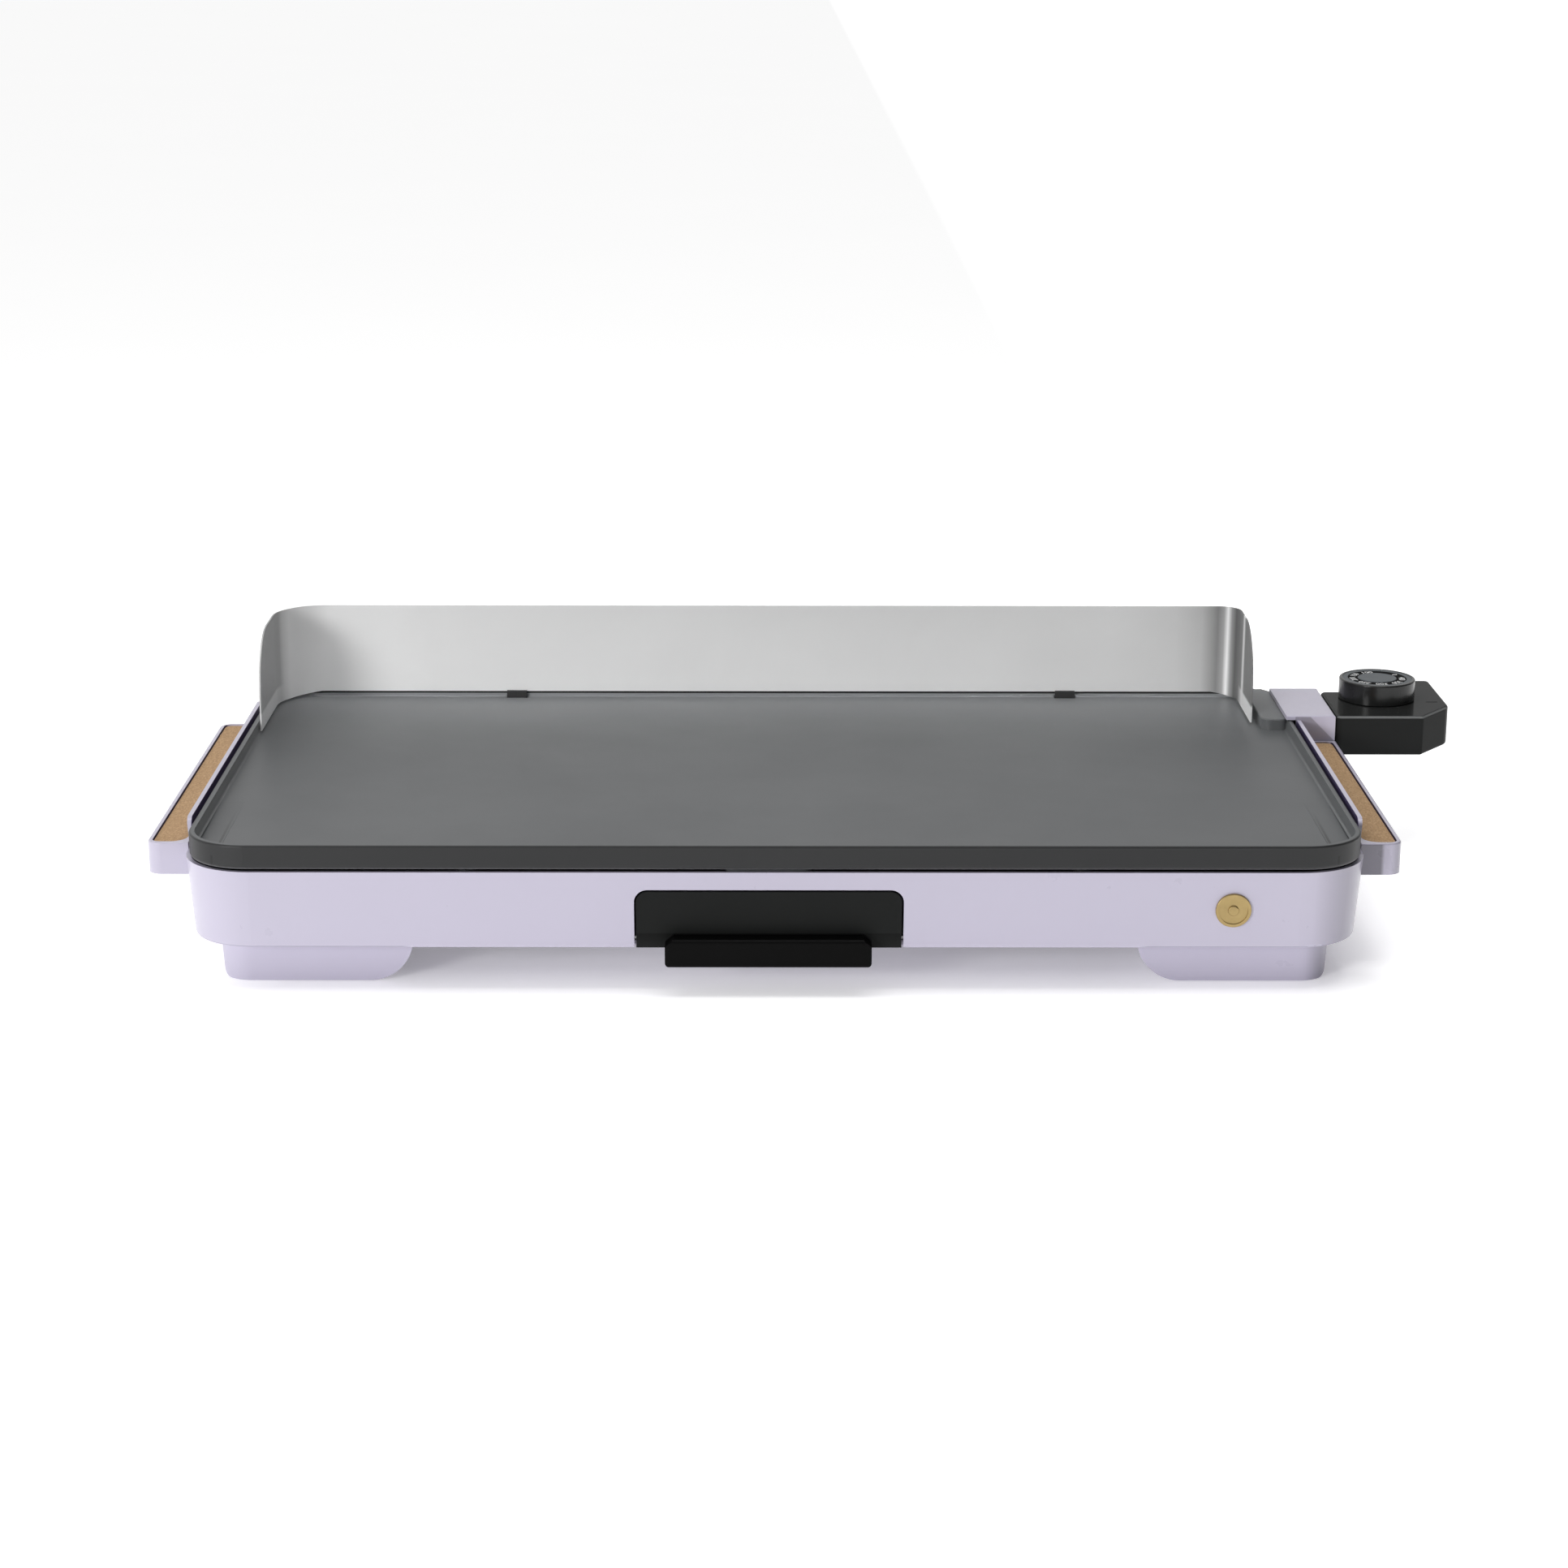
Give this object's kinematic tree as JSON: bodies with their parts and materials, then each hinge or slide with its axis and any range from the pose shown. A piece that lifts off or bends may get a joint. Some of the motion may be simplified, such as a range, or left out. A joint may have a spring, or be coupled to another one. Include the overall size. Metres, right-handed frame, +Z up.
{
  "type": "electric griddle",
  "caption": "Electric griddle with rimmed cooking plate, lift-off splash guard, moulded base with cork grips, pull-out drip tray and plug-in temperature probe with dial.",
  "frame": {"origin": "middle of the whole object's box at worktop level, under the foot pads", "axes": "+X along the long side towards the temperature probe, +Y from the cook to the back, +Z up"},
  "size_m": [0.6828, 0.33, 0.1222],
  "materials": {
    "plate_coating": "dark non-stick coating on cast aluminium, satin",
    "steel_part": "bright zinc plate",
    "element_steel": "heat-darkened steel tube",
    "white_ceramic": "unglazed",
    "reflector_sheet": "mill finish sheet",
    "shell": "pearly pale grey-lavender moulding",
    "cork": "fine cork grain, matt",
    "black_rubber": "matt",
    "gold_badge": "polished gold plate",
    "tray_plastic": "fine satin texture",
    "guard_steel": "bright annealed stainless sheet",
    "probe_plastic": "satin black moulding",
    "rod_steel": "ground stainless",
    "contact_brass": "plain",
    "lamp_glass": "clear",
    "lens_plastic": "translucent grey",
    "knob_plastic": "satin black moulding",
    "trim_grey": "metallic grey",
    "dial_black": "black with pale numbers"
  },
  "bodies": {
    "base": {"griddle_plate": "plate_coating", "heating_element": "element_steel", "terminal_pins": "steel_part", "pin_bushes": "white_ceramic", "terminal_shield": "steel_part", "heat_reflector": "reflector_sheet", "plate_spacers": "steel_part", "plate_screws": "steel_part", "base_housing": "shell", "probe_hood": "shell", "handle_left": "shell", "handle_right": "shell", "cork_strip_left": "cork", "cork_strip_right": "cork", "handle_screws": "steel_part", "foot_front_left": "shell", "foot_front_right": "shell", "foot_rear_left": "shell", "foot_rear_right": "shell", "foot_pads": "black_rubber", "foot_screws": "steel_part", "tray_rail_left": "steel_part", "tray_rail_right": "steel_part", "badge": "gold_badge"},
    "drip_tray": {"drip_tray": "tray_plastic"},
    "splash_guard": {"splash_guard": "guard_steel", "guard_feet": "black_rubber"},
    "probe": {"probe_lower_case": "probe_plastic", "probe_upper_case": "probe_plastic", "probe_rod": "rod_steel", "probe_receptacles": "contact_brass", "thermostat_frame": "steel_part", "contact_leaf": "contact_brass", "indicator_lamp": "lamp_glass", "indicator_lens": "lens_plastic", "cord_gland": "black_rubber", "case_screws": "steel_part"},
    "knob": {"knob": "knob_plastic", "trim_ring": "trim_grey", "dial_ring": "dial_black", "knob_cap": "trim_grey", "knob_shaft": "steel_part", "shaft_clip": "steel_part"}
  },
  "joints": [
    {"name": "tray_slide", "type": "slide", "parent": "base", "child": "drip_tray", "axis": [0, -1, 0], "range_m": [0, 0.125]},
    {"name": "guard_lift", "type": "slide", "parent": "base", "child": "splash_guard", "axis": [0, 0, 1], "range_m": [0, 0.06]},
    {"name": "probe_unplug", "type": "slide", "parent": "base", "child": "probe", "axis": [1, 0, 0], "range_m": [0, 0.09]},
    {"name": "knob_turn", "type": "hinge", "parent": "probe", "child": "knob", "pos_m": [0.3039, 0.117, 0.09], "axis": [0, 0, -1], "range_deg": [0, 290]}
  ]
}
